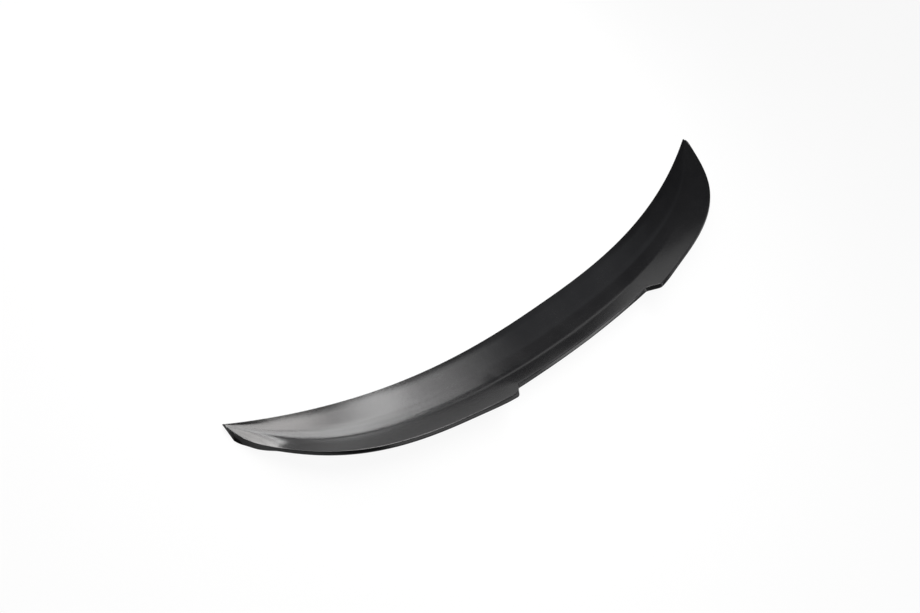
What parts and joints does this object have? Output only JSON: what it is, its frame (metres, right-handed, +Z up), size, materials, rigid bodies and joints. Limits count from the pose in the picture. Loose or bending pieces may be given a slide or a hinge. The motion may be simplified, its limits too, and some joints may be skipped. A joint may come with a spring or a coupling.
{
  "type": "car rear spoiler",
  "caption": "One-piece moulded rear spoiler: a thin skin that kicks up to a turned-over lip with a recessed middle, bonded along the rear edge of a saloon's boot lid.",
  "frame": {"origin": "under the middle of the outline, on the plane that is bonded to the boot lid", "axes": "+X across the car, +Y to the front of the car, +Z up and away from the lid"},
  "size_m": [1.2, 0.2228, 0.0656],
  "materials": {
    "satin_black": "satin"
  },
  "bodies": {
    "root": {"spoiler": "satin_black"}
  },
  "joints": []
}
